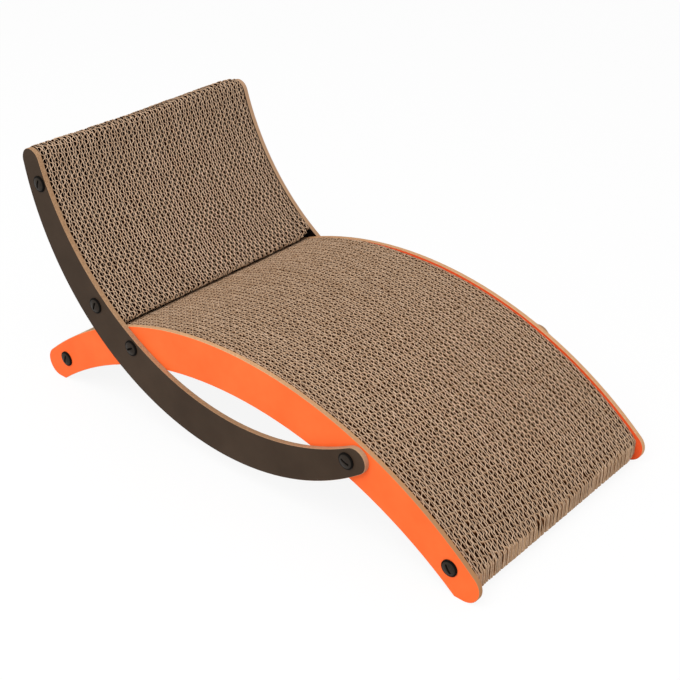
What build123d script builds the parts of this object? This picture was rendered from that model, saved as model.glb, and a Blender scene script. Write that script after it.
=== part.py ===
from build123d import *
from math import cos, radians, sin, sqrt
import os

# A lounger for a cat to lie on and scratch: an arched seat and a curved back, both blocks of corrugated
# cardboard, held between two arched rails and two crescent arms by screws that turn with a coin.
# Millimetres. +X is the low front end, +Z is up, the origin is on the floor under the middle of the rails.

# Seat pad and boards across the width
seat_width = 240.0
rail_board = 4.4
arm_board = 4.7
edge_break = 0.3

# Rails: two edges of one radius, one above the other
arch_radius = 375.0
arch_height = 119.0
rail_depth = 39.6
foot_round = 14.5

# Arms: a crescent between two edges of one radius, leaning back
arm_radius = 243.0
arm_depth = 40.5
arm_lean = 20.8
arm_end_round = 11.5
arm_floor_gap = 18.0
arm_shift = 3.8

# Seat pad inside the rails' outline
seat_inset = 2.0
seat_end_gap = 5.5
seat_floor_gap = 6.0
seat_top_round = 3.0
seat_toe_round = 4.0

# Back pad inside the arms' outline
back_front_inset = 1.5
back_rear_inset = 4.0
back_end_round = 8.5
back_rail_gap = 1.0
back_nose_round = 5.0
back_heel_round = 3.0

# Sheets of the pads, with one row in three of their open flutes as a groove, clear of the inserts
sheets = 41
flute_row_step = 3
flute_row_width = 3.0
flute_row_depth = 2.5

# Coin-slot screws
head_diameter = 14.5
head_height = 2.8
head_rim = 1.0
slot_length = 8.5
slot_width = 2.0
slot_depth = 1.4
shank_diameter = 6.0
shank_length = 28.0
shank_chamfer = 1.2

# Inserts in the cardboard
insert_diameter = 9.0
insert_length = 24.0
flange_diameter = 13.0
flange_thickness = 1.0
fin_span = 11.5
fin_width = 1.2

# Fits
hole_clearance = 0.25
thread_clearance = 0.1
pocket_clearance = 0.15
cutting_margin = 1.0

# Screw places: back from the feet's tips, in from the arms' middle line, down from the arms' upper ends
# and up from the rails' top edge
foot_screw_setback = 27.9
front_joint_inset = 2.1
rear_joint_inset = 10.0
back_screw_inset = 4.2
upper_screw_drop = 20.9
lower_screw_rise = 22.5

# Slot angles from upright towards the front, on the right side and on the left side
slot_angles = {
    "rear_joint": (60, 28),
    "front_joint": (108, -8),
    "rear_foot": (13, 63),
    "front_foot": (144, 41),
    "back_top": (15, -52),
    "back_low": (19, 70),
}


def meet(centre_1, radius_1, centre_2, radius_2, way):
    """The point where two circles cross, left (way -1) or right (way 1) of the line from centre to centre."""
    line = centre_2 - centre_1
    along = (radius_1**2 - radius_2**2 + line.length**2) / (2 * line.length)
    across = sqrt(radius_1**2 - along**2)
    unit = line.normalized()
    return centre_1 + unit * along + Vector(unit.Y, -unit.X) * across * way


def towards(centre, point, radius):
    """The point of a circle that lies in the direction of another point."""
    return centre + (point - centre).normalized() * radius


def arc(centre, start, end):
    """An arc of less than half a circle about a centre."""
    half_way = (start + end) * 0.5
    return ThreePointArc(start, towards(centre, half_way, (start - centre).length), end)


def upright(y):
    """The upright lengthwise plane at a distance from the middle. Its sketches are in x and z."""
    return Plane.XZ.offset(-y)


# Faces across the width, and the centres of the edges' circles in x and z
seat_face = seat_width / 2
rail_face = seat_face + rail_board
arm_face = rail_face + arm_board

rail_top = Vector(0, arch_height - arch_radius)
rail_bottom = rail_top - Vector(0, rail_depth)
rail_middle = (rail_top + rail_bottom) * 0.5
nose_x = sqrt((arch_radius - foot_round) ** 2 - (foot_round - rail_top.Y) ** 2)
foot_tip = nose_x + foot_round

lean = Vector(sin(radians(arm_lean)), cos(radians(arm_lean)))
chord = Vector(lean.Y, -lean.X)
arm_outer = Vector(-arm_shift - lean.X * arm_depth / 2, arm_floor_gap + arm_radius)
arm_inner = arm_outer + lean * arm_depth
arm_middle = (arm_outer + arm_inner) * 0.5
arm_reach_out = arm_radius - arm_end_round
arm_reach_in = arm_radius + arm_end_round
rear_end = meet(arm_outer, arm_reach_out, arm_inner, arm_reach_in, -1)
front_end = meet(arm_outer, arm_reach_out, arm_inner, arm_reach_in, 1)

# Screw places in x and z: joint screws go through an arm and a rail, the others through one board
foot_screw_x = foot_tip - foot_screw_setback
foot_screw_rise = sqrt(arch_radius**2 - foot_screw_x**2)
back_screw_radius = arm_radius - back_screw_inset
joint_screws = {
    "rear_joint": meet(rail_middle, arch_radius, arm_middle, arm_radius - rear_joint_inset, -1),
    "front_joint": meet(rail_middle, arch_radius, arm_middle, arm_radius - front_joint_inset, 1),
}
foot_screws = {
    "rear_foot": rail_middle + Vector(-foot_screw_x, foot_screw_rise),
    "front_foot": rail_middle + Vector(foot_screw_x, foot_screw_rise),
}
back_screws = {
    "back_top": meet(arm_middle, back_screw_radius, rear_end, upper_screw_drop, -1),
    "back_low": meet(rail_top, arch_radius + lower_screw_rise, arm_middle, back_screw_radius, -1),
}
seat_screws = joint_screws | foot_screws
arm_screws = joint_screws | back_screws


def make_board(side, face, thickness, profile, screws):
    """A flat board with a clearance hole for each screw and its outer edges broken."""
    with BuildPart() as board:
        with BuildSketch(upright(side * face)):
            add(profile)
            with Locations(*screws.values()):
                Circle(shank_diameter / 2 + hole_clearance, mode=Mode.SUBTRACT)
        extrude(amount=-side * thickness)
        outlines = [broad.outer_wire() for broad in board.faces().filter_by(Axis.Y)]
        chamfer([edge for outline in outlines for edge in outline.edges()], edge_break)
    return board.part


def make_pad(half_width, profile, screws):
    """A block of cardboard sheets with rows of open flutes and a pocket for each insert in both sides."""
    row_spacing = flute_row_step * 2 * half_width / sheets
    rows_each_side = int((half_width - insert_length - flute_row_width) / row_spacing)
    with BuildSketch() as row_profile:
        add(profile)
        offset(amount=cutting_margin)
        with BuildSketch(mode=Mode.SUBTRACT):
            add(profile)
            offset(amount=-flute_row_depth)
    with BuildPart() as pad:
        with BuildSketch(upright(half_width)):
            add(profile)
        extrude(amount=2 * half_width)
        for row in range(-rows_each_side, rows_each_side + 1):
            with BuildSketch(upright(row * row_spacing + flute_row_width / 2)):
                add(row_profile.sketch)
            extrude(amount=flute_row_width, mode=Mode.SUBTRACT)
        for side in (-1, 1):
            with BuildSketch(upright(side * half_width)):
                with Locations(*screws.values()):
                    Circle(insert_diameter / 2 + pocket_clearance)
                    Rectangle(fin_span + 2 * pocket_clearance, fin_width + 2 * pocket_clearance)
                    Rectangle(fin_width + 2 * pocket_clearance, fin_span + 2 * pocket_clearance)
            extrude(amount=side * (insert_length + pocket_clearance), mode=Mode.SUBTRACT)
            with BuildSketch(upright(side * half_width)):
                with Locations(*screws.values()):
                    Circle(flange_diameter / 2 + pocket_clearance)
            extrude(amount=side * flange_thickness, mode=Mode.SUBTRACT)
    return pad.part


def make_insert(side, face, place):
    """A finned plastic sleeve whose thin flange is flush with the side of the cardboard."""
    with BuildPart() as insert:
        with BuildSketch(upright(side * face)):
            with Locations(place):
                Circle(insert_diameter / 2)
                Rectangle(fin_span, fin_width)
                Rectangle(fin_width, fin_span)
        extrude(amount=side * insert_length)
        with BuildSketch(upright(side * face)):
            with Locations(place):
                Circle(flange_diameter / 2)
        extrude(amount=side * flange_thickness)
        with BuildSketch(upright(side * face)):
            with Locations(place):
                Circle(shank_diameter / 2 + thread_clearance)
        extrude(amount=side * insert_length, mode=Mode.SUBTRACT)
    return insert.part


def make_screw(side, face, place, slot_angle):
    """A low domed head with a coin slot, and a shank without its thread."""
    head_radius = head_diameter / 2
    shank_radius = shank_diameter / 2
    seat = Plane((place.X, side * face, place.Y), x_dir=(1, 0, 0), z_dir=(0, 0, side))
    with BuildPart() as screw:
        with BuildSketch(seat):
            with BuildLine():
                TangentArc((0, head_height), (head_radius, head_rim), tangent=(1, 0))
                Polyline(
                    (head_radius, head_rim),
                    (head_radius, 0),
                    (shank_radius, 0),
                    (shank_radius, shank_chamfer - shank_length),
                    (shank_radius - shank_chamfer, -shank_length),
                    (0, -shank_length),
                    (0, head_height),
                )
            make_face()
        revolve(axis=Axis(seat.origin, (0, 1, 0)))
        with BuildSketch(upright(side * (face + head_height))):
            with Locations(place):
                SlotOverall(slot_length, slot_width, rotation=90 - slot_angle)
        extrude(amount=side * slot_depth, mode=Mode.SUBTRACT)
    return screw.part


# Rail outline: an arch whose feet are flat where they stand and round at the nose
rail_heel = sqrt(arch_radius**2 - rail_bottom.Y**2)
front_top = towards(rail_top, Vector(nose_x, foot_round), arch_radius)
rear_top = towards(rail_top, Vector(-nose_x, foot_round), arch_radius)
with BuildSketch() as rail_profile:
    with BuildLine():
        arc(rail_top, rear_top, front_top)
        ThreePointArc(front_top, (foot_tip, foot_round), (nose_x, 0))
        Line((nose_x, 0), (rail_heel, 0))
        arc(rail_bottom, Vector(rail_heel, 0), Vector(-rail_heel, 0))
        Line((-rail_heel, 0), (-nose_x, 0))
        ThreePointArc((-nose_x, 0), (-foot_tip, foot_round), rear_top)
    make_face()

# Arm outline: a crescent whose two ends are rounds that meet both edges smoothly
rear_low = towards(arm_outer, rear_end, arm_radius)
front_low = towards(arm_outer, front_end, arm_radius)
rear_high = towards(arm_inner, rear_end, arm_radius)
front_high = towards(arm_inner, front_end, arm_radius)
with BuildSketch() as arm_profile:
    with BuildLine():
        arc(arm_outer, rear_low, front_low)
        ThreePointArc(front_low, front_end + chord * arm_end_round, front_high)
        arc(arm_inner, front_high, rear_high)
        ThreePointArc(rear_high, rear_end - chord * arm_end_round, rear_low)
    make_face()

# Seat outline: an arch a little inside the rails, with blunt ends clear of the floor
seat_top_radius = arch_radius - seat_inset
seat_under_radius = arch_radius + seat_inset
seat_toe = foot_tip - seat_end_gap
seat_toe_top = rail_top.Y + sqrt(seat_top_radius**2 - seat_toe**2)
seat_heel = sqrt(seat_under_radius**2 - (seat_floor_gap - rail_bottom.Y) ** 2)
with BuildSketch() as seat_profile:
    with BuildLine():
        arc(rail_top, Vector(-seat_toe, seat_toe_top), Vector(seat_toe, seat_toe_top))
        Polyline((seat_toe, seat_toe_top), (seat_toe, seat_floor_gap), (seat_heel, seat_floor_gap))
        arc(rail_bottom, Vector(seat_heel, seat_floor_gap), Vector(-seat_heel, seat_floor_gap))
        Polyline((-seat_heel, seat_floor_gap), (-seat_toe, seat_floor_gap), (-seat_toe, seat_toe_top))
    make_face()
    low_corners = seat_profile.vertices().group_by(Axis.Y)[0].sort_by(Axis.X)
    top_corners = seat_profile.vertices().group_by(Axis.Y)[-1]
    fillet([low_corners[0], low_corners[-1]], seat_toe_round)
    fillet(top_corners, seat_top_round)

# Back outline: a curved block a little inside the arms, round at the top and standing on the rails' curve
back_front_radius = arm_radius + back_front_inset
back_rear_radius = arm_radius - back_rear_inset
back_foot_radius = arch_radius + back_rail_gap
back_reach_out = back_rear_radius - back_end_round
back_reach_in = back_front_radius + back_end_round
back_end = meet(arm_outer, back_reach_out, arm_inner, back_reach_in, -1)
back_nose = meet(rail_top, back_foot_radius, arm_inner, back_front_radius, -1)
back_heel = meet(rail_top, back_foot_radius, arm_outer, back_rear_radius, -1)
back_front_high = towards(arm_inner, back_end, back_front_radius)
back_rear_high = towards(arm_outer, back_end, back_rear_radius)
with BuildSketch() as back_profile:
    with BuildLine():
        arc(arm_inner, back_nose, back_front_high)
        ThreePointArc(back_front_high, back_end - chord * back_end_round, back_rear_high)
        arc(arm_outer, back_rear_high, back_heel)
        arc(rail_top, back_heel, back_nose)
    make_face()
    fillet(back_profile.vertices().sort_by_distance(back_nose)[0], back_nose_round)
    fillet(back_profile.vertices().sort_by_distance(back_heel)[0], back_heel_round)

pieces = {
    "seat_pad": make_pad(seat_face, seat_profile.sketch, seat_screws),
    "back_pad": make_pad(rail_face, back_profile.sketch, back_screws),
}
for hand, side in (("right", -1), ("left", 1)):
    pieces[f"{hand}_rail"] = make_board(side, seat_face, rail_board, rail_profile.sketch, seat_screws)
    pieces[f"{hand}_arm"] = make_board(side, rail_face, arm_board, arm_profile.sketch, arm_screws)
    for name, place in (seat_screws | back_screws).items():
        pad_face = seat_face if name in seat_screws else rail_face
        head_face = rail_face if name in foot_screws else arm_face
        slot_angle = slot_angles[name][side > 0]
        pieces[f"{hand}_{name}_screw"] = make_screw(side, head_face, place, slot_angle)
        pieces[f"{hand}_{name}_insert"] = make_insert(side, pad_face, place)

os.makedirs("parts", exist_ok=True)
for name, piece in pieces.items():
    piece.label = name
    export_step(piece, f"parts/{name}.step")
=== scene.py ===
import math

import bpy
import numpy as np
from mathutils import Matrix, Vector


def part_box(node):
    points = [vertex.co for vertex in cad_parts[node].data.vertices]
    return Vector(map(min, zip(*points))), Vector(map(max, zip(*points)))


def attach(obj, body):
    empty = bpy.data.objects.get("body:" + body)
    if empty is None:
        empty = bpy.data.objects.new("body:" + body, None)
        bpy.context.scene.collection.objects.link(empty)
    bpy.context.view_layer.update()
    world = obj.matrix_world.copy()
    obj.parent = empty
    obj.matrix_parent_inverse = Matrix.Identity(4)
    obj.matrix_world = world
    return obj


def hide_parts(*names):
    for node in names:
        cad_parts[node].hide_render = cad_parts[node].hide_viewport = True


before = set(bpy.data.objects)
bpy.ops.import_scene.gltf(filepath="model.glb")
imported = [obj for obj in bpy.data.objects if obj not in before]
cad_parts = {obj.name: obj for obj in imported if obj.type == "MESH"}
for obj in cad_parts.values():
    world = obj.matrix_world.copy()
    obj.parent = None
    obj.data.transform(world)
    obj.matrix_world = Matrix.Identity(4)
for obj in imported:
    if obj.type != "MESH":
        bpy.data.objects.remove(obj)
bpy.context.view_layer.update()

# A cardboard cat lounger in metres: +X is the low front end, +Z is up, the near side in the picture is -Y.
# The rails, arms, screws and inserts are the CAD nodes with their own materials. The two cardboard pads are
# built here as the sheets that they are glued from: liners and fluted layers with open flutes between them.

MM = 0.001

# Camera, from the picture's vanishing points
CAMERA_AZIMUTH = math.radians(40.295)
CAMERA_ELEVATION = math.radians(30.255)
CAMERA_ROLL = math.radians(0.9754)
CAMERA_PLACE = Vector((0.62018, -0.72137, 0.63407))
SENSOR_MM = 36.0
LENS_MM = 65.43

# Light and floor. The world has one level as light and another where it is seen, and the floor glows where
# it is seen.
WHITE = (1, 1, 1, 1)
WORLD_LEVEL = 0.65
WORLD_SEEN = 0.965
FLOOR_COLOUR = (0.96, 0.96, 0.96, 1)
FLOOR_ROUGHNESS = 0.9
FLOOR_GLOW = 0.9
FLOOR_HALF = 30.0
KEY_PLACE = Vector((0.2, -1.25, 1.9))
KEY_SIZE = 1.6
KEY_POWER = 32.0

# Rails and arms, which give the pads their curves
ARCH_RADIUS = 375 * MM
ARCH_HEIGHT = 119 * MM
RAIL_DEPTH = 39.6 * MM
FOOT_ROUND = 14.5 * MM
ARM_RADIUS = 243 * MM
ARM_DEPTH = 40.5 * MM
ARM_LEAN = math.radians(20.8)
ARM_FLOOR_GAP = 18 * MM
ARM_SHIFT = 3.8 * MM

# Steps of the pads' long arcs and of their small rounds
SEAT_ARC_STEPS = 60
BACK_ARC_STEPS = 40
ROUND_STEPS = 5
FINE_ROUND_STEPS = 6

# Seat pad, whose sheets run from the front to the rear
SEAT_PIECES = 6
SEAT_SEED = 11
SEAT_ALONG = (-1, 0)
SEAT_INSET = 2 * MM
SEAT_END_GAP = 5.5 * MM
SEAT_FLOOR_GAP = 6 * MM
SEAT_TOP_ROUND = 3 * MM
SEAT_TOE_ROUND = 4 * MM
SEAT_RISE = 1.8 * MM
SEAT_DROP = 0.4 * MM
SEAT_FLUSH_X = -80 * MM
SEAT_LOW_X = 10 * MM
SEAT_END_SKEW = 3 * MM
SEAT_END_LOSS = 1.8 * MM
SEAT_CORNER_BOARDS = 2
SEAT_CORNER_LOSS = 1.3 * MM
SEAT_CUT_BEND = 0.28 * MM

# Back pad, whose sheets run from its foot to its top
BACK_PIECES = 3
BACK_SEED = 23
BACK_ALONG = (-0.57, 0.82)
BACK_FRONT_INSET = 1.5 * MM
BACK_REAR_INSET = 4 * MM
BACK_END_ROUND = 8.5 * MM
BACK_NOSE_GAP = 1.8 * MM
BACK_HEEL_GAP = 0.5 * MM
BACK_NOSE_ROUND = 2.5 * MM
BACK_HEEL_ROUND = 3 * MM
BACK_TOP_RISE = 0.5 * MM
BACK_TOP_SKEW = 5.2 * MM
BACK_SKEW_FROM = 0.4
BACK_TOP_LOSS = 0.3 * MM
BACK_CORNER_BOARDS = 3
BACK_CORNER_LOSS = 0.65 * MM
BACK_LIFT = 0.2 * MM
BACK_LIFT_FROM = 0.5
BACK_CUT_BEND = 0.1 * MM

# Double-wall board. The marks are the places in each flute where its wave has points.
BOARDS = 41
SIDE_CLEARANCE = 0.35 * MM
JOINED_LINERS = 0.5 * MM
MIDDLE_LINER = 0.4 * MM
MEDIUM = 0.55 * MM
WIDE_PITCH = 7.7 * MM
NARROW_PITCH = 6.5 * MM
WIDE_SHARE = 0.615
FLUTE_MARKS = (0.06, 0.16, 0.34, 0.44, 0.56, 0.66, 0.84, 0.94)
FLUTE_STEEPNESS = 3.0
MARK_MARGIN = 0.03
LINER_STEP = 4 * MM
FINE_STEP = 1 * MM
SHARP_ANGLE = math.radians(50)

# How the flutes shift, in shares of a pitch: from board to board, and along a board in slow waves
NEAR_PHASE_STEP = 0.1
FAR_PHASE_STEP = -0.04
PHASE_NOISE = (0.06, 0.12)
PHASE_DRIFT = 0.06
PHASE_WAVES = 230 * MM, 90 * MM, 47 * MM

# Unevenness of the cut and of the boards
CUT_JITTER = 0.07 * MM
CUT_LIMIT = 0.3
BEND_WEIGHTS = (0.4, 0.6, 0.4)
BOARD_WOBBLE = 0.22 * MM
WOBBLE_WAVES = 310 * MM, 120 * MM, 55 * MM
SWING_MEAN = 0.95
SWING_DRIFT = 0.05
SWING_WAVES = 170 * MM, 60 * MM
BOARD_CUT = 0.08 * MM
END_LOSS = 0.8 * MM
END_BLEND = 40 * MM
EDGE_MARGIN = 0.05 * MM
SEED_LIMIT = 1 << 30

# Painted shade in the open flutes: the walls' colour darkens with depth below the cut. The lip is as deep as
# the painted shade grows from the cut, and the two lengths are how far painted light reaches from the boards'
# ends under the upper cut and over the lower one. A flute's wall gets its painted shade more slowly where it
# crosses from liner to liner than at its crests.
LIP = 2 * MM
UPPER_END_LIGHT = 3 * MM
LOWER_END_LIGHT = 40 * MM
CREST = 0.9
SEAT_CROSSING_SHADE = 0.3
BACK_CROSSING_SHADE = 0.22
SEAT_SHADE_FULL = 0.36
BACK_SHADE_FULL = 0.1
SHADE_STEPS = 0.12, 0.45, 0.75

# Noise and ramps of all surfaces. Scales are of noise over metres, stops are the places of a ramp's colours.
NOISE_ROUGHNESS = 0.6
EVEN = (1, 1, 1)
TWO_STOPS = 0.3, 0.7

# Surface of kraft paper. A bump is its strength and its height.
FIBRE_SCALE = 620
FIBRE_DETAIL = 5
FIBRE_NOISE_ROUGHNESS = 0.7
FIBRE_STRETCH = (1, 1, 0.35)
FIBRE_STOPS = 0.3, 0.5, 0.72
TINT_SHARE = 0.35
KRAFT_ROUGHNESS = 0.9
KRAFT_BUMP = 0.35, 0.3 * MM

# Surface of rails and arms. The place in front is where their raw edges have reached their second colour.
MOTTLE_SCALE = 26
PORE_SCALE = 900
FACE_DETAIL = 3
ARM_GRAIN = (0.15, 1, 1)
RAW_SCALE = 700
RAW_DETAIL = 6
RAW_NOISE_ROUGHNESS = 0.75
RAW_STOPS = 0.3, 0.5, 0.7
BROAD_NORMAL = 0.85, 0.95
INWARD_BLEND = 10 * MM
FRONT_X = 240 * MM
NEAR_Y = -122 * MM
RAW_ROUGHNESS = 0.9
FACE_ROUGHNESS = 0.5
LAMINATE_SHEEN = 0.06
LAMINATE_BUMP = 0.15, 0.1 * MM

# Surface of screws and inserts. A rise is how far below a piece's top its painted shade ends and the rest
# starts.
JOINTS = "back_top", "back_low", "rear_joint", "front_joint", "rear_foot", "front_foot"
SCREW_RISE = 1.3 * MM, 1.0 * MM
INSERT_RISE = 2.5 * MM, 1.5 * MM
SPECK_SCALE = 420
SPECK_DETAIL = 3
GRAIN_SCALE = 2600
GRAIN_DETAIL = 2
PAINTED_SHADE_ROUGHNESS = 0.8
PLASTIC_ROUGHNESS = 0.45
PLASTIC_SHEEN = 0.1
PLASTIC_BUMP = 0.12, 0.08 * MM


def srgb(red, green, blue):
    """A colour from 0 to 255 as linear RGBA, by the sRGB standard."""
    linear = []
    for value in (red, green, blue):
        level = value / 255
        linear.append(level / 12.92 if level <= 0.04045 else ((level + 0.055) / 1.055) ** 2.4)
    return (*linear, 1.0)


def lighter(colours, gain):
    """Colours with their light multiplied by a gain."""
    return [(*(level * gain for level in colour[:3]), 1.0) for colour in colours]


# Colours of kraft paper: its fibres from dark to light, then the tint. The gain is painted light that
# lightens the back's cut edges, and the shade and deep colours are painted shade for walls down in the
# flutes.
WALL_COLOURS = srgb(166, 132, 99), srgb(188, 154, 121), srgb(206, 174, 143), srgb(177, 144, 111)
LINER_CUT_COLOURS = srgb(174, 149, 126), srgb(201, 176, 152), srgb(218, 195, 172), srgb(188, 161, 136)
FLUTE_CUT_COLOURS = srgb(177, 142, 112), srgb(204, 170, 140), srgb(220, 189, 161), srgb(189, 153, 121)
BACK_CUT_PAINTED_LIGHT_GAIN = 1.06
PAINTED_SHADE_COLOUR = srgb(114, 64, 28)
SEAT_PAINTED_DEEP_SHADE = srgb(50, 24, 6)
BACK_PAINTED_DEEP_SHADE = srgb(32, 7, 0)

# Colours of rails and arms: faces, painted shade on the face towards the middle, raw edges, and raw edges at
# the near front
ORANGE = srgb(248, 103, 46), srgb(253, 112, 54)
ORANGE_INNER_PAINTED_SHADE = srgb(244, 92, 46)
RAIL_RAW = srgb(178, 134, 94), srgb(204, 158, 117), srgb(222, 180, 138)
RAIL_RAW_FRONT = srgb(172, 126, 88)
BROWN = srgb(57, 44, 33), srgb(66, 52, 40)
BROWN_INNER_PAINTED_SHADE = srgb(16, 10, 7)
ARM_RAW = srgb(138, 106, 76), srgb(166, 130, 98), srgb(188, 152, 118)
ARM_RAW_FRONT = srgb(182, 146, 116)

# Colours of the plastics: painted shade on a screw's slot and rim or an insert's body, then the rest from
# dark to light
SCREW_COLOURS = srgb(7, 4, 2), srgb(36, 30, 24), srgb(48, 41, 34)
INSERT_COLOURS = srgb(44, 28, 16), srgb(226, 222, 210), srgb(236, 233, 224)


# Outlines in x and z

def meet(centre_1, radius_1, centre_2, radius_2, way):
    """The point where two circles cross, left (way -1) or right (way 1) of the line from centre to centre."""
    line = centre_2 - centre_1
    along = (radius_1**2 - radius_2**2 + line.length_squared) / (2 * line.length)
    across = math.sqrt(radius_1**2 - along**2)
    unit = line.normalized()
    return centre_1 + unit * along + Vector((unit.y, -unit.x)) * across * way


def towards(centre, point, radius):
    """The point of a circle that lies in the direction of another point."""
    return centre + (point - centre).normalized() * radius


def arc(centre, start, end, steps):
    """Points of an arc of less than half a circle, from start to end."""
    first = start - centre
    turn = math.atan2(first.cross(end - centre), first.dot(end - centre))
    return [centre + Matrix.Rotation(turn * i / steps, 2) @ first for i in range(steps + 1)]


RAIL_TOP = Vector((0, ARCH_HEIGHT - ARCH_RADIUS))
RAIL_BOTTOM = RAIL_TOP - Vector((0, RAIL_DEPTH))
LEAN = Vector((math.sin(ARM_LEAN), math.cos(ARM_LEAN)))
CHORD = Vector((LEAN.y, -LEAN.x))
ARM_OUTER = Vector((-ARM_SHIFT - LEAN.x * ARM_DEPTH / 2, ARM_FLOOR_GAP + ARM_RADIUS))
ARM_INNER = ARM_OUTER + LEAN * ARM_DEPTH


def seat_rise(x):
    """How far the seat's top stands above its plain arch.

    It is nearly flush with the rails behind and lower in front.
    """
    share = (SEAT_LOW_X - x) / (SEAT_LOW_X - SEAT_FLUSH_X)
    share = min(max(share, 0), 1)
    return (SEAT_RISE + SEAT_DROP) * share * share * (3 - 2 * share) - SEAT_DROP


def seat_outline():
    """The arch a little inside the rails, with blunt ends clear of the floor."""
    nose_x = math.sqrt((ARCH_RADIUS - FOOT_ROUND) ** 2 - (FOOT_ROUND - RAIL_TOP.y) ** 2)
    toe = nose_x + FOOT_ROUND - SEAT_END_GAP
    top_radius = ARCH_RADIUS - SEAT_INSET
    under_radius = ARCH_RADIUS + SEAT_INSET
    round_x = toe - SEAT_TOP_ROUND
    round_z = RAIL_TOP.y + math.sqrt((top_radius - SEAT_TOP_ROUND) ** 2 - round_x**2)
    top_round = Vector((round_x, round_z))
    toe_round = Vector((toe - SEAT_TOE_ROUND, SEAT_FLOOR_GAP + SEAT_TOE_ROUND))
    toe_under = Vector((toe_round.x, SEAT_FLOOR_GAP))
    heel = math.sqrt(under_radius**2 - (SEAT_FLOOR_GAP - RAIL_BOTTOM.y) ** 2)
    crown = Vector((0, RAIL_TOP.y + top_radius))
    hollow = Vector((0, RAIL_BOTTOM.y + under_radius))
    front = arc(RAIL_TOP, crown, towards(RAIL_TOP, top_round, top_radius), SEAT_ARC_STEPS)
    front += arc(top_round, front[-1], Vector((toe, round_z)), ROUND_STEPS)
    front += arc(toe_round, Vector((toe, toe_round.y)), toe_under, ROUND_STEPS)
    front += arc(RAIL_BOTTOM, Vector((heel, SEAT_FLOOR_GAP)), hollow, SEAT_ARC_STEPS)
    rear = [Vector((-point.x, point.y)) for point in reversed(front)]
    points = []
    for point in front + rear:
        out = point - RAIL_TOP
        on_top = out.length > top_radius - SEAT_TOP_ROUND
        points.append(point + out.normalized() * seat_rise(point.x) if on_top else point)
    return points


def back_outline():
    """The curved block inside the arms, round at the top, with a slit under it that narrows to the rear."""
    front_radius = ARM_RADIUS + BACK_FRONT_INSET
    rear_radius = ARM_RADIUS - BACK_REAR_INSET
    nose_radius = ARCH_RADIUS + BACK_NOSE_GAP
    heel_radius = ARCH_RADIUS + BACK_HEEL_GAP
    end = meet(ARM_OUTER, rear_radius - BACK_END_ROUND, ARM_INNER, front_radius + BACK_END_ROUND, -1)
    nose_reach = nose_radius + BACK_NOSE_ROUND
    nose = meet(RAIL_TOP, nose_reach, ARM_INNER, front_radius + BACK_NOSE_ROUND, -1)
    heel_reach = heel_radius + BACK_HEEL_ROUND
    heel = meet(RAIL_TOP, heel_reach, ARM_OUTER, rear_radius - BACK_HEEL_ROUND, -1)
    tip = end - CHORD * BACK_END_ROUND
    front_foot = towards(ARM_INNER, nose, front_radius)
    points = arc(ARM_INNER, front_foot, towards(ARM_INNER, end, front_radius), BACK_ARC_STEPS)
    points += arc(end, points[-1], tip, FINE_ROUND_STEPS)
    points += arc(end, tip, towards(ARM_OUTER, end, rear_radius), FINE_ROUND_STEPS)
    points += arc(ARM_OUTER, points[-1], towards(ARM_OUTER, heel, rear_radius), BACK_ARC_STEPS)
    points += arc(heel, points[-1], towards(RAIL_TOP, heel, heel_radius), ROUND_STEPS)
    points += arc(nose, towards(RAIL_TOP, nose, nose_radius), points[0], FINE_ROUND_STEPS)
    return points


class Outline:
    """A pad's outline along its flutes: how deep the block starts and ends at a place along the sheets."""

    def __init__(self, points, along):
        self.along = along
        self.depth = Vector((-along.y, along.x))
        self.places = np.array([point.dot(self.along) for point in points])
        self.depths = np.array([point.dot(self.depth) for point in points])
        self.start = self.places.min()
        self.end = self.places.max()

    def span(self, places):
        """The least and the greatest depth of the outline at each place."""
        least = np.full(len(places), np.inf)
        greatest = np.full(len(places), -np.inf)
        corners = zip(self.places, self.depths, np.roll(self.places, -1), np.roll(self.depths, -1))
        for place_1, depth_1, place_2, depth_2 in corners:
            if place_1 == place_2:
                continue
            share = (places - place_1) / (place_2 - place_1)
            inside = (share >= 0) & (share <= 1)
            depth = depth_1 + share * (depth_2 - depth_1)
            least = np.where(inside, np.minimum(least, depth), least)
            greatest = np.where(inside, np.maximum(greatest, depth), greatest)
        return least, greatest

    def world(self, places, across, depths):
        """Points of the world from places along the sheets, across the pad and down the flutes."""
        x = places * self.along.x + depths * self.depth.x
        z = places * self.along.y + depths * self.depth.y
        return np.column_stack((x, across, z))


# Corrugated sheets

def drift(rng, places, size, lengths):
    """A slow smooth wander along a sheet, from a few waves of the given lengths."""
    waves = [np.sin(2 * np.pi * (places / length + rng.random())) for length in lengths]
    return size * sum(waves) / len(lengths)


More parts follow.
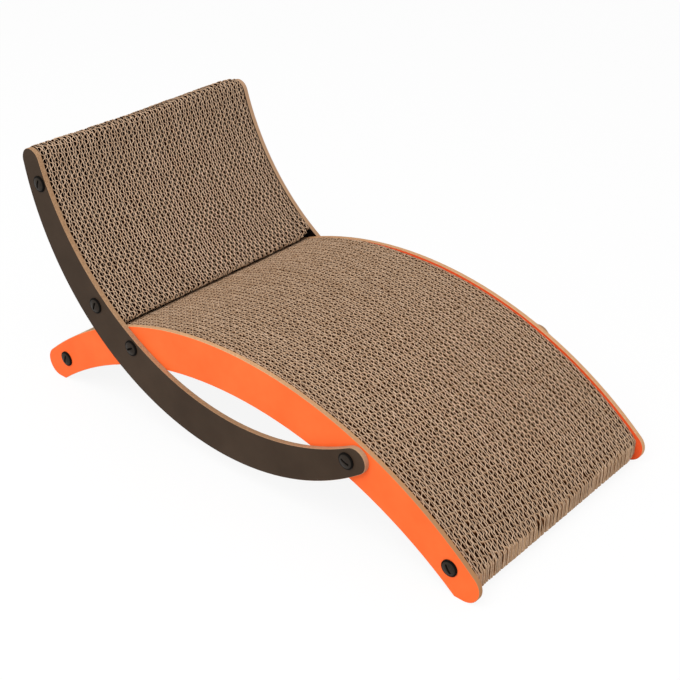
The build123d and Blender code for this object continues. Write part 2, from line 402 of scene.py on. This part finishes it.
class SheetMesh:
    """Gathers bent sheets and makes one mesh of them.

    A sheet's section is a ring of 8 rows of points: down one side at the cut, the lip, the other lip and the
    other cut, then up the other side. Its strips lie side by side in the map for baking, the lips wider than
    the middle, and the caps of its two ends lie beyond the strips.
    """

    WALL, LINER_CUT, FLUTE_CUT = 0, 1, 2
    SIDE_STRIPS = 3
    ROWS = 2 * (SIDE_STRIPS + 1)
    BANDS = np.array((0, 0.17, 0.23, 0.4, 0.5, 0.67, 0.73, 0.9, 1))
    MAP_END = 0.99
    CAP_PLACES = 0.992, 0.996
    CAP_WIDTH = 0.003

    def __init__(self, outline):
        self.outline = outline
        self.points = []
        self.tints = []
        self.below = []
        self.quads = []
        self.kinds = []
        self.maps = []
        self.count = 0
        self.sheets = 0

    def add(self, rng, board, places, across, thickness, shade=1, cut=LINER_CUT):
        """A sheet whose middle runs through the places, with its two cut edges at the outline.

        The shade says how fast its painted shade darkens it below its cut, at each place or all along.
        """
        count = len(places)
        along_step = np.gradient(places)
        across_step = np.gradient(across)
        length = np.hypot(along_step, across_step)
        push_along = -across_step / length * thickness / 2
        push_across = along_step / length * thickness / 2
        least, greatest = self.outline.span(board.held(places))
        limit = (greatest - least) * CUT_LIMIT
        from_end = np.minimum(places - places[0], places[-1] - places)
        bends = rng.normal(0, board.bend, count + len(BEND_WEIGHTS) - 1)
        bend = np.clip(np.convolve(bends, BEND_WEIGHTS, "valid"), -SIDE_CLEARANCE, SIDE_CLEARANCE)
        at_cut = np.zeros(count)
        for side in (1, -1):
            jitter = rng.normal(0, CUT_JITTER, (2, count))
            high = least + np.clip(board.cut + jitter[0], -limit, limit) - board.lift
            low = greatest - np.clip(board.cut + jitter[1], -limit, limit)
            lip = np.minimum(LIP, (low - high) / self.SIDE_STRIPS)
            # Painted shade below each cut, with painted light near the boards' ends where it is less
            upper_shade = np.minimum(lip, LIP * from_end / UPPER_END_LIGHT)
            lower_shade = np.minimum(lip, LIP * from_end / LOWER_END_LIGHT)
            rows = [
                (high, at_cut, bend),
                (high + lip, upper_shade, 0),
                (low - lip, lower_shade, 0),
                (low, at_cut, bend),
            ]
            for depth, below, bent in rows if side == 1 else reversed(rows):
                pushed = places + side * push_along, across + side * push_across + bent
                self.points.append(self.outline.world(*pushed, depth))
                self.below.append(below / LIP * shade)
        self.tints.append(np.full(self.ROWS * count, board.tint))
        ring = [self.count + count * row + np.arange(count) for row in range(self.ROWS)]
        self.put_strips(ring, (places - places[0]) / (places[-1] - places[0]), cut)
        self.put_caps(ring, cut)
        self.count += self.ROWS * count
        self.sheets += 1

    def put_strips(self, ring, share, cut):
        """The long strips of a sheet, around its section: each side, with a cut edge after it."""
        share = share * self.MAP_END
        side_kinds = (self.WALL,) * self.SIDE_STRIPS
        for number, kind in enumerate((*side_kinds, cut) * 2):
            row = ring[number]
            next_row = ring[(number + 1) % self.ROWS]
            corners = row[:-1], next_row[:-1], next_row[1:], row[1:]
            band = self.BANDS[number:number + 2] + self.sheets
            self.put(kind, corners, (share[:-1], share[:-1], share[1:], share[1:]), band[[0, 1, 1, 0]])

    def put_caps(self, ring, cut):
        """The two ends of a sheet, with a quad for each strip of its side."""
        last = self.ROWS - 1
        for end, turn, place in zip((0, -1), (1, -1), self.CAP_PLACES):
            beyond = place + self.CAP_WIDTH
            for number in range(self.SIDE_STRIPS):
                rows = ring[number], ring[last - number], ring[last - 1 - number], ring[number + 1]
                corners = [row[end:][:1] for row in rows][::turn]
                band = self.BANDS[[number, number, number + 1, number + 1]][::turn] + self.sheets
                self.put(cut, corners, (place, beyond, beyond, place)[::turn], band)

    def put(self, kind, corners, map_along, map_across):
        """Quads from four rows of points, with their places in the map for baking."""
        count = len(corners[0])
        self.quads.append(np.column_stack(corners))
        self.kinds.append(np.full(count, kind))
        along = np.column_stack([np.broadcast_to(value, count) for value in map_along])
        across = np.column_stack([np.broadcast_to(value, count) for value in map_across])
        self.maps.append(np.stack((along, across), axis=2))

    def make(self, name, materials):
        """The object, with materials for its walls, the liners' cut edges and the flutes' cut edges."""
        quads = np.concatenate(self.quads)
        mesh = bpy.data.meshes.new(name)
        mesh.vertices.add(self.count)
        mesh.vertices.foreach_set("co", np.concatenate(self.points).ravel())
        mesh.loops.add(quads.size)
        mesh.loops.foreach_set("vertex_index", quads.ravel())
        mesh.polygons.add(len(quads))
        mesh.polygons.foreach_set("loop_start", np.arange(0, quads.size, quads.shape[1]))
        mesh.polygons.foreach_set("material_index", np.concatenate(self.kinds))
        mesh.polygons.foreach_set("use_smooth", np.ones(len(quads), bool))
        for title, values in (("tint", self.tints), ("below", self.below)):
            layer = mesh.attributes.new(title, "FLOAT", "POINT")
            layer.data.foreach_set("value", np.concatenate(values))
        layout = mesh.uv_layers.new(name="OFBake")
        places = np.concatenate(self.maps).reshape(-1, 2) / (1, self.sheets)
        layout.data.foreach_set("uv", places.ravel())
        mesh.update(calc_edges=True)
        mesh.set_sharp_from_angle(angle=SHARP_ANGLE)
        for material in materials:
            mesh.materials.append(material)
        piece = bpy.data.objects.new(name, mesh)
        bpy.context.scene.collection.objects.link(piece)
        return piece


class Board:
    """One double-wall board: where it ends, how deep its cut is and how it wavers."""

    def __init__(self, rng, outline, reach, lift, bend, crossing):
        self.rng = rng
        self.lift = lift
        self.bend = bend
        self.crossing = crossing
        self.tint = rng.random()
        self.cut = rng.normal(0, BOARD_CUT)
        self.outline = outline
        self.outer = outline.start - reach[0], outline.end + reach[1]
        self.start = self.outer[0] + EDGE_MARGIN + rng.random() * END_LOSS
        self.end = self.outer[1] - EDGE_MARGIN - rng.random() * END_LOSS
        self.seed = rng.integers(SEED_LIMIT)

    def held(self, places):
        """Places of the plain outline for places on this board, which may end inside or outside it."""
        outline = self.outline
        inner = outline.start + END_BLEND, outline.end - END_BLEND
        known = self.outer[0], *inner, self.outer[1]
        return np.interp(places, known, (outline.start, *inner, outline.end))

    def wobble(self, places):
        """How far the board's inner sheets sway across the pad, the same for all of them."""
        return drift(np.random.default_rng(self.seed), places, BOARD_WOBBLE, WOBBLE_WAVES)

    def steps(self, size):
        """Places along the board that lie about this far apart."""
        return np.linspace(self.start, self.end, int((self.end - self.start) / size))

    def flutes(self, pitch, phase, height):
        """Places along a fluted layer, at the same marks of every flute, its wave and the rate of its painted
        shade there.
        """
        rng = self.rng
        fine = self.steps(FINE_STEP)
        turns = fine / pitch + phase + drift(rng, fine, PHASE_DRIFT, PHASE_WAVES)
        whole = np.arange(math.floor(turns[0]), math.ceil(turns[-1]))
        marks = (whole[:, None] + np.array(FLUTE_MARKS)).ravel()
        marks = marks[(marks > turns[0] + MARK_MARGIN) & (marks < turns[-1] - MARK_MARGIN)]
        marks = np.concatenate((turns[:1], marks, turns[-1:]))
        places = np.interp(marks, turns, fine)
        swing = height / 2 * (SWING_MEAN + drift(rng, places, SWING_DRIFT, SWING_WAVES))
        wave = np.tanh(FLUTE_STEEPNESS * np.sin(2 * np.pi * marks)) / math.tanh(FLUTE_STEEPNESS)
        shade = np.where(np.abs(wave) < CREST, self.crossing, 1)
        return places, swing * wave, shade

    def add_to(self, sheets, number, low, high, phases):
        """Adds the board's sheets between two heights across the pad.

        These are wide flutes, a middle liner, narrow flutes and a liner that is joined with the next board's.
        The first board also has a thinner liner at the side of the pad, and the last has it in place of the
        joined one.
        """
        rng = self.rng
        side_liner = JOINED_LINERS / 2
        inner_low = low + side_liner
        inner_high = high - side_liner
        wide = (inner_high - inner_low - MIDDLE_LINER) * WIDE_SHARE
        narrow = (inner_high - inner_low - MIDDLE_LINER) * (1 - WIDE_SHARE)
        middle = inner_low + wide + MIDDLE_LINER / 2
        places = self.steps(LINER_STEP)
        level = np.zeros(len(places))
        if number == 0:
            sheets.add(rng, self, places, low + side_liner / 2 + level, side_liner)
        sheets.add(rng, self, places, middle + self.wobble(places), MIDDLE_LINER)
        if number == BOARDS - 1:
            sheets.add(rng, self, places, high - side_liner / 2 + level, side_liner)
        else:
            sheets.add(rng, self, places, high + self.wobble(places), JOINED_LINERS)
        layers = (
            (inner_low + wide / 2, wide, WIDE_PITCH),
            (inner_high - narrow / 2, narrow, NARROW_PITCH),
        )
        for (centre, height, pitch), phase in zip(layers, phases):
            places, wave, shade = self.flutes(pitch, phase, height - MEDIUM)
            across = centre + self.wobble(places) + wave
            sheets.add(rng, self, places, across, MEDIUM, shade, SheetMesh.FLUTE_CUT)


# Shader nodes

class Nodes:
    """A tree of shader nodes, with short calls to add and link them."""

    # The sockets of a Mix node that mixes colours
    MIX_SHARE, MIX_FIRST, MIX_SECOND, MIX_RESULT = 0, 6, 7, 2

    def __init__(self, tree):
        self.tree = tree

    def node(self, kind, **settings):
        """A new node of a kind, with its settings by name."""
        made = self.tree.nodes.new("ShaderNode" + kind)
        for name, value in settings.items():
            setattr(made, name, value)
        return made

    def link(self, output, target):
        """Links an output to an input."""
        self.tree.links.new(output, target)

    def calculate(self, operation, *values):
        """The result of a Math node on one or two outputs."""
        made = self.node("Math", operation=operation)
        for value, target in zip(values, made.inputs):
            self.link(value, target)
        return made.outputs["Value"]

    def axes(self, vector):
        """The X, Y and Z outputs of a vector."""
        made = self.node("SeparateXYZ")
        self.link(vector, made.inputs["Vector"])
        return made.outputs

    def remap(self, value, low, high, to_low=0, to_high=1):
        """A value moved from one range to another."""
        change = self.node("MapRange")
        for name, number in zip(("From Min", "From Max", "To Min", "To Max"), (low, high, to_low, to_high)):
            change.inputs[name].default_value = number
        self.link(value, change.inputs["Value"])
        return change.outputs["Result"]

    def mix(self, share, first, second):
        """Two colours mixed by a share, each of them a fixed value or an output."""
        mix = self.node("Mix", data_type="RGBA")
        sockets = self.MIX_SHARE, self.MIX_FIRST, self.MIX_SECOND
        for socket, value in zip(sockets, (share, first, second)):
            if isinstance(value, bpy.types.NodeSocket):
                self.link(value, mix.inputs[socket])
            else:
                mix.inputs[socket].default_value = value
        return mix.outputs[self.MIX_RESULT]

    def seen(self):
        """An output that is 1 where the camera, a reflection or glass looks straight at a surface."""
        path = self.node("LightPath")
        total = path.outputs["Is Camera Ray"]
        for kind in ("Glossy", "Transmission"):
            total = self.calculate("MAXIMUM", total, path.outputs[f"Is {kind} Ray"])
        return total


class Shader(Nodes):
    """A material's nodes around its Principled surface."""

    def __init__(self, name):
        self.material = bpy.data.materials.new(name)
        self.material.use_nodes = True
        super().__init__(self.material.node_tree)
        self.surface = self.tree.nodes["Principled BSDF"]

    def set_surface(self, **values):
        """Fixed values of the surface, by name with _ for spaces."""
        for name, value in values.items():
            self.surface.inputs[name.replace("_", " ")].default_value = value

    def link_surface(self, **outputs):
        """Outputs for the surface, by name with _ for spaces."""
        for name, output in outputs.items():
            self.link(output, self.surface.inputs[name.replace("_", " ")])

    def attribute(self, name):
        """A value that the mesh holds at each point."""
        return self.node("Attribute", attribute_name=name).outputs["Fac"]

    def noise(self, scale, detail, roughness=NOISE_ROUGHNESS, stretch=EVEN):
        """Noise by place in metres, stretched along an axis where its number is small."""
        mapping = self.node("Mapping")
        mapping.inputs["Scale"].default_value = stretch
        self.link(self.node("TexCoord").outputs["Object"], mapping.inputs["Vector"])
        noise = self.node("TexNoise")
        noise.inputs["Scale"].default_value = scale
        noise.inputs["Detail"].default_value = detail
        noise.inputs["Roughness"].default_value = roughness
        self.link(mapping.outputs["Vector"], noise.inputs["Vector"])
        return noise.outputs["Fac"]

    def ramp(self, value, stops, colours):
        """Colours by a value, each at its stop."""
        ramp = self.node("ValToRGB")
        elements = ramp.color_ramp.elements
        for stop in stops[1:-1]:
            elements.new(stop)
        for element, stop, colour in zip(elements, stops, colours):
            element.position = stop
            element.color = colour
        self.link(value, ramp.inputs["Fac"])
        return ramp.outputs["Color"]

    def bump(self, height, strength, distance):
        """Small relief of the surface."""
        bump = self.node("Bump")
        bump.inputs["Strength"].default_value = strength
        bump.inputs["Distance"].default_value = distance
        self.link(height, bump.inputs["Height"])
        self.link_surface(Normal=bump.outputs["Normal"])


# Materials

def cardboard(name, colours, shade_full=None, painted_deep_shade=None):
    """Kraft paper with fibres, a tint that differs from board to board and, on walls, painted shade in the
    flutes.
    """
    *fibre_colours, tint_colour = colours
    shader = Shader(name)
    fibres = shader.noise(FIBRE_SCALE, FIBRE_DETAIL, FIBRE_NOISE_ROUGHNESS, FIBRE_STRETCH)
    colour = shader.ramp(fibres, FIBRE_STOPS, fibre_colours)
    tint = shader.remap(shader.attribute("tint"), 0, 1, 0, TINT_SHARE)
    colour = shader.mix(tint, colour, tint_colour)
    # Painted shade on the walls: darker towards the shade and deep colours with depth below the cut
    if shade_full:
        below = shader.attribute("below")
        start, dim, deep = (shade_full * share for share in SHADE_STEPS)
        colour = shader.mix(shader.remap(below, start, deep), colour, PAINTED_SHADE_COLOUR)
        colour = shader.mix(shader.remap(below, dim, shade_full), colour, painted_deep_shade)
    shader.link_surface(Base_Color=colour)
    shader.set_surface(Roughness=KRAFT_ROUGHNESS, Specular_IOR_Level=0)
    shader.bump(fibres, *KRAFT_BUMP)
    return shader.material


def laminated_board(name, face_colours, inner_painted_shade, raw_colours, front_colour, grain):
    """Fibreboard with laminated faces: smooth matt paper on the broad faces, raw fibres on the edges.

    The inner face, which looks towards the middle of the lounger, gets a painted shade in place of its face
    colour. The raw edges change towards the front colour at the near front, and in the same way at the far
    rear.
    """
    shader = Shader(name)
    mottle = shader.noise(MOTTLE_SCALE, FACE_DETAIL)
    pores = shader.noise(PORE_SCALE, FACE_DETAIL, stretch=grain)
    raw_fibres = shader.noise(RAW_SCALE, RAW_DETAIL, RAW_NOISE_ROUGHNESS)
    geometry = shader.node("NewGeometry")
    normal = shader.axes(geometry.outputs["True Normal"])
    place = shader.axes(geometry.outputs["Position"])
    broad = shader.remap(shader.calculate("ABSOLUTE", normal["Y"]), *BROAD_NORMAL)
    outward = shader.calculate("MULTIPLY", normal["Y"], place["Y"])
    inward_shade_share = shader.remap(outward, -INWARD_BLEND, INWARD_BLEND, 1, 0)
    # Painted shade on the inner faces, which look towards the middle of the lounger
    face = shader.mix(inward_shade_share, shader.ramp(mottle, TWO_STOPS, face_colours), inner_painted_shade)
    corner = shader.calculate("MULTIPLY", place["X"], place["Y"])
    near_front = shader.remap(corner, 0, FRONT_X * NEAR_Y)
    edge = shader.mix(near_front, shader.ramp(raw_fibres, RAW_STOPS, raw_colours), front_colour)
    shader.link_surface(Base_Color=shader.mix(broad, edge, face))
    shader.link_surface(Roughness=shader.remap(broad, 0, 1, RAW_ROUGHNESS, FACE_ROUGHNESS))
    shader.set_surface(Specular_IOR_Level=LAMINATE_SHEEN)
    shader.bump(shader.mix(broad, raw_fibres, pores), *LAMINATE_BUMP)
    return shader.material


def moulded_plastic(name, top, rise, painted_shade, *colours):
    """Fine-grained moulded plastic with painted shade on its lower part: a screw's slot and rim, or an
    insert's body.

    The top is the piece's greatest distance from the middle of the lounger, and the rise is how far below it
    the painted shade ends and the rest starts.
    """
    shader = Shader(name)
    place = shader.axes(shader.node("TexCoord").outputs["Object"])
    height = shader.calculate("ABSOLUTE", place["Y"])
    raised = shader.remap(height, top - rise[0], top - rise[1])
    face = shader.ramp(shader.noise(SPECK_SCALE, SPECK_DETAIL), TWO_STOPS, colours)
    # Painted shade on the lower part: a screw's slot and rim, an insert's body deep in the flutes
    shader.link_surface(Base_Color=shader.mix(raised, painted_shade, face))
    shader.link_surface(Roughness=shader.remap(raised, 0, 1, PAINTED_SHADE_ROUGHNESS, PLASTIC_ROUGHNESS))
    shader.set_surface(Specular_IOR_Level=PLASTIC_SHEEN)
    shader.bump(shader.noise(GRAIN_SCALE, GRAIN_DETAIL), *PLASTIC_BUMP)
    return shader.material


# Pads

def make_pad(node, outline, materials, reach, lift, bend, crossing, pieces, seed):
    """A pad as a stack of boards across its width, in a few pieces that stand for its node."""
    rng = np.random.default_rng(seed)
    low_corner, high_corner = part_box(node)
    half = (high_corner.y - low_corner.y) / 2 - SIDE_CLEARANCE
    bounds = np.linspace(-half, half, BOARDS + 1)
    near_half = np.arange(BOARDS)[:, None] < BOARDS / 2
    steps = np.where(near_half, NEAR_PHASE_STEP, FAR_PHASE_STEP)
    phases = np.cumsum(rng.normal(steps, PHASE_NOISE), axis=0)
    for piece_number, group in enumerate(np.array_split(np.arange(BOARDS), pieces), 1):
        sheets = SheetMesh(outline)
        for number in group:
            board = Board(rng, outline, reach(number), lift(number), bend, crossing)
            board.add_to(sheets, number, bounds[number], bounds[number + 1], phases[number])
        piece = sheets.make(f"{node}_boards_{piece_number}", materials)
        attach(piece, "root")
        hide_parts(node)


def seat_reach(number):
    """How far a seat board reaches past the outline in front and behind.

    The front is cut a little askew, and its far corner is worn.
    """
    corner = max(0, number + 1 + SEAT_CORNER_BOARDS - BOARDS)
    return SEAT_END_SKEW * number / BOARDS - SEAT_END_LOSS - SEAT_CORNER_LOSS * corner, 0


def seat_lift(number):
    """The boards of the seat lie level with its outline."""
    return 0


def back_reach(number):
    """How far a back board reaches past the outline below and above.

    The top rises towards the far side, and the corners there are worn.
    """
    corner = max(0, number + 1 + BACK_CORNER_BOARDS - BOARDS) ** 2
    rise = BACK_TOP_RISE + BACK_TOP_SKEW * max(0, number / BOARDS - BACK_SKEW_FROM)
    return -BACK_CORNER_LOSS * corner, rise - BACK_TOP_LOSS * corner


def back_lift(number):
    """How far a back board stands out of the outline in front, growing towards the far side."""
    return BACK_LIFT * max(0, (number / (BOARDS - 1) - BACK_LIFT_FROM) / (1 - BACK_LIFT_FROM))


def make_seat():
    """The seat pad, between the rails."""
    materials = (
        cardboard("seat_kraft_wall", WALL_COLOURS, SEAT_SHADE_FULL, SEAT_PAINTED_DEEP_SHADE),
        cardboard("seat_liner_cut", LINER_CUT_COLOURS),
        cardboard("seat_flute_cut", FLUTE_CUT_COLOURS),
    )
    make_pad(
        "seat_pad",
        Outline(seat_outline(), Vector(SEAT_ALONG)),
        materials,
        reach=seat_reach,
        lift=seat_lift,
        bend=SEAT_CUT_BEND,
        crossing=SEAT_CROSSING_SHADE,
        pieces=SEAT_PIECES,
        seed=SEAT_SEED,
    )


def make_back():
    """The back pad, between the arms. Its cut edges get painted light, which makes them a little lighter than
    the seat's.
    """
    materials = (
        cardboard("back_kraft_wall", WALL_COLOURS, BACK_SHADE_FULL, BACK_PAINTED_DEEP_SHADE),
        cardboard("back_liner_cut", lighter(LINER_CUT_COLOURS, BACK_CUT_PAINTED_LIGHT_GAIN)),
        cardboard("back_flute_cut", lighter(FLUTE_CUT_COLOURS, BACK_CUT_PAINTED_LIGHT_GAIN)),
    )
    make_pad(
        "back_pad",
        Outline(back_outline(), Vector(BACK_ALONG).normalized()),
        materials,
        reach=back_reach,
        lift=back_lift,
        bend=BACK_CUT_BEND,
        crossing=BACK_CROSSING_SHADE,
        pieces=BACK_PIECES,
        seed=BACK_SEED,
    )


# Looks of the CAD nodes

def dress(ending, material):
    """Puts one material on every CAD node whose name ends like this."""
    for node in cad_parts:
        if node.endswith(ending):
            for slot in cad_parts[node].material_slots:
                slot.material = material


def dress_rails_and_arms():
    """Orange rails and dark brown arms."""
    orange = laminated_board("orange_laminate", ORANGE, ORANGE_INNER_PAINTED_SHADE, RAIL_RAW, RAIL_RAW_FRONT, EVEN)
    brown = laminated_board("brown_laminate", BROWN, BROWN_INNER_PAINTED_SHADE, ARM_RAW, ARM_RAW_FRONT, ARM_GRAIN)
    dress("_rail", orange)
    dress("_arm", brown)


def dress_plastics():
    """Screws and inserts, with a material for each kind and joint, so that the painted shade fits its place.
    """
    kinds = ("screw", SCREW_RISE, SCREW_COLOURS), ("insert", INSERT_RISE, INSERT_COLOURS)
    for kind, rise, colours in kinds:
        for joint in JOINTS:
            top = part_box(f"left_{joint}_{kind}")[1].y
            dress(f"_{joint}_{kind}", moulded_plastic(f"{joint}_{kind}_plastic", top, rise, *colours))


# Light, floor and camera

def make_world():
    """Even white light, and as pale as the far floor where it is seen."""
    world = bpy.data.worlds.new("studio")
    bpy.context.scene.world = world
    world.use_nodes = True
    nodes = Nodes(world.node_tree)
    background = nodes.tree.nodes["Background"]
    background.inputs["Color"].default_value = WHITE
    level = nodes.remap(nodes.seen(), 0, 1, WORLD_LEVEL, WORLD_SEEN)
    nodes.link(level, background.inputs["Strength"])


def make_floor():
    """A pale floor that looks nearly white and keeps a soft shadow."""
    shader = Shader("floor")
    shader.set_surface(Base_Color=FLOOR_COLOUR, Roughness=FLOOR_ROUGHNESS, Specular_IOR_Level=0)
    glow = shader.node("Emission")
    glow.inputs["Color"].default_value = WHITE
    share = shader.remap(shader.seen(), 0, 1, 0, FLOOR_GLOW)
    mix = shader.node("MixShader")
    mixed = share, shader.surface.outputs["BSDF"], glow.outputs["Emission"]
    for output, target in zip(mixed, mix.inputs):
        shader.link(output, target)
    shader.link(mix.outputs["Shader"], shader.tree.nodes["Material Output"].inputs["Surface"])
    mesh = bpy.data.meshes.new("floor")
    corners = [(x * FLOOR_HALF, y * FLOOR_HALF, 0) for x, y in ((-1, -1), (1, -1), (1, 1), (-1, 1))]
    mesh.from_pydata(corners, [], [(0, 1, 2, 3)])
    mesh.materials.append(shader.material)
    floor = bpy.data.objects.new("floor", mesh)
    bpy.context.scene.collection.objects.link(floor)


def make_key():
    """One large soft lamp above the camera's side."""
    lamp = bpy.data.lights.new("key", "AREA")
    lamp.size = KEY_SIZE
    lamp.energy = KEY_POWER
    key = bpy.data.objects.new("key", lamp)
    key.location = KEY_PLACE
    key.rotation_euler = KEY_PLACE.to_track_quat("Z", "Y").to_euler()
    bpy.context.scene.collection.objects.link(key)


def make_camera():
    """The picture's view: place, direction, a slight roll and the lens."""
    side = Vector((math.cos(CAMERA_AZIMUTH), math.sin(CAMERA_AZIMUTH), 0))
    level = math.cos(CAMERA_ELEVATION)
    back = Vector((side.y * level, -side.x * level, math.sin(CAMERA_ELEVATION)))
    rise = back.cross(side)
    right = side * math.cos(CAMERA_ROLL) + rise * math.sin(CAMERA_ROLL)
    up = rise * math.cos(CAMERA_ROLL) - side * math.sin(CAMERA_ROLL)
    camera = bpy.data.objects.new("camera", bpy.data.cameras.new("camera"))
    camera.data.sensor_width = SENSOR_MM
    camera.data.lens = LENS_MM
    turned = Matrix((right, up, back)).transposed().to_4x4()
    camera.matrix_world = Matrix.Translation(CAMERA_PLACE) @ turned
    bpy.context.scene.collection.objects.link(camera)
    bpy.context.scene.camera = camera


bpy.context.scene.view_settings.view_transform = "Standard"
make_camera()
make_world()
make_floor()
make_key()
make_seat()
make_back()
dress_rails_and_arms()
dress_plastics()
